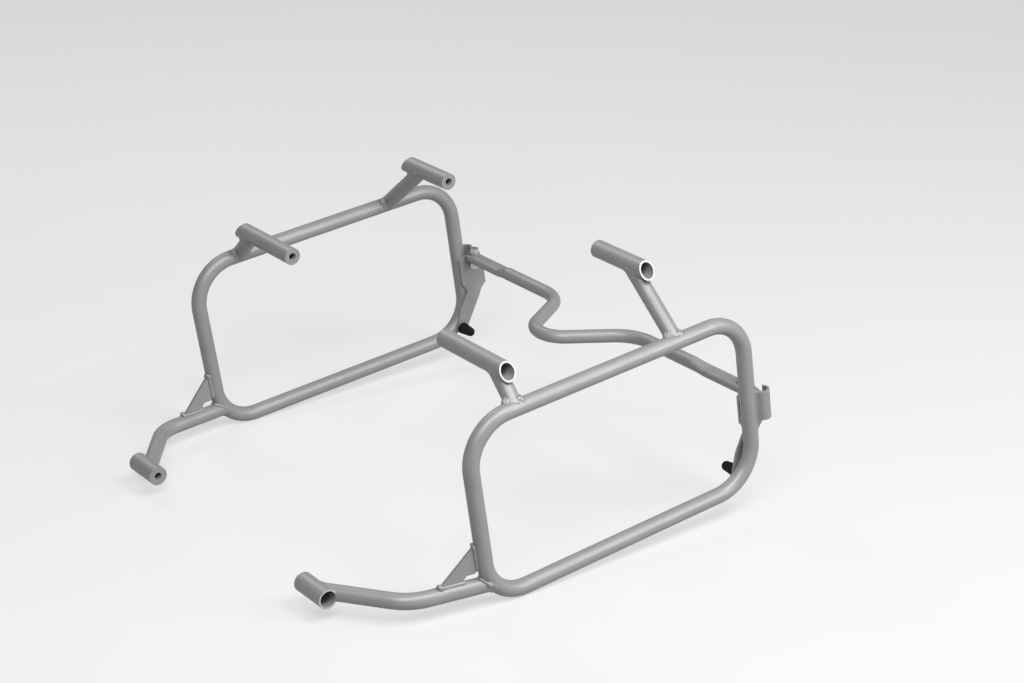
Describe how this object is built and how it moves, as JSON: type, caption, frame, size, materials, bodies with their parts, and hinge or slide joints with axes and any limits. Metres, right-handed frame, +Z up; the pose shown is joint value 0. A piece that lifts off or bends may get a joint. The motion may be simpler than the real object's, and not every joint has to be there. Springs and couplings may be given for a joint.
{
  "type": "pannier frame",
  "caption": "Tubular steel side-case carrier for a motorcycle: bent hoops on welded stubs, with lock hooks and a bolted rear crossbar that bends forward at its middle.",
  "frame": {"origin": "middle of the overall box, on the plane of symmetry", "axes": "+X forward along the motorcycle, +Y to the rider's left and across the frame, +Z up"},
  "size_m": [0.553, 0.577, 0.3124],
  "materials": {
    "coat": "satin silver-grey powder coat on welded steel tube and sheet",
    "zinc": "bright zinc plate",
    "rubber": "matt black moulded rubber"
  },
  "bodies": {
    "root": {"crossbar": "coat", "crossbar_bolts": "zinc", "crossbar_washers": "zinc", "crossbar_nuts": "zinc", "hoop_left": "coat", "hoop_right": "coat", "upper_front_strut_left": "coat", "upper_front_strut_right": "coat", "upper_front_stub_left": "coat", "upper_front_stub_right": "coat", "upper_front_seat_left": "coat", "upper_front_seat_right": "coat", "upper_rear_strut_left": "coat", "upper_rear_strut_right": "coat", "upper_rear_stub_left": "coat", "upper_rear_stub_right": "coat", "upper_rear_seat_left": "coat", "upper_rear_seat_right": "coat", "lower_arm_left": "coat", "lower_arm_right": "coat", "lower_stub_left": "coat", "lower_stub_right": "coat", "lower_seat_left": "coat", "lower_seat_right": "coat", "gusset_left": "coat", "gusset_right": "coat", "lock_hook_left": "coat", "lock_hook_right": "coat", "crossbar_bracket_left": "coat", "crossbar_bracket_right": "coat", "buffer_left": "rubber", "buffer_right": "rubber"}
  },
  "joints": []
}
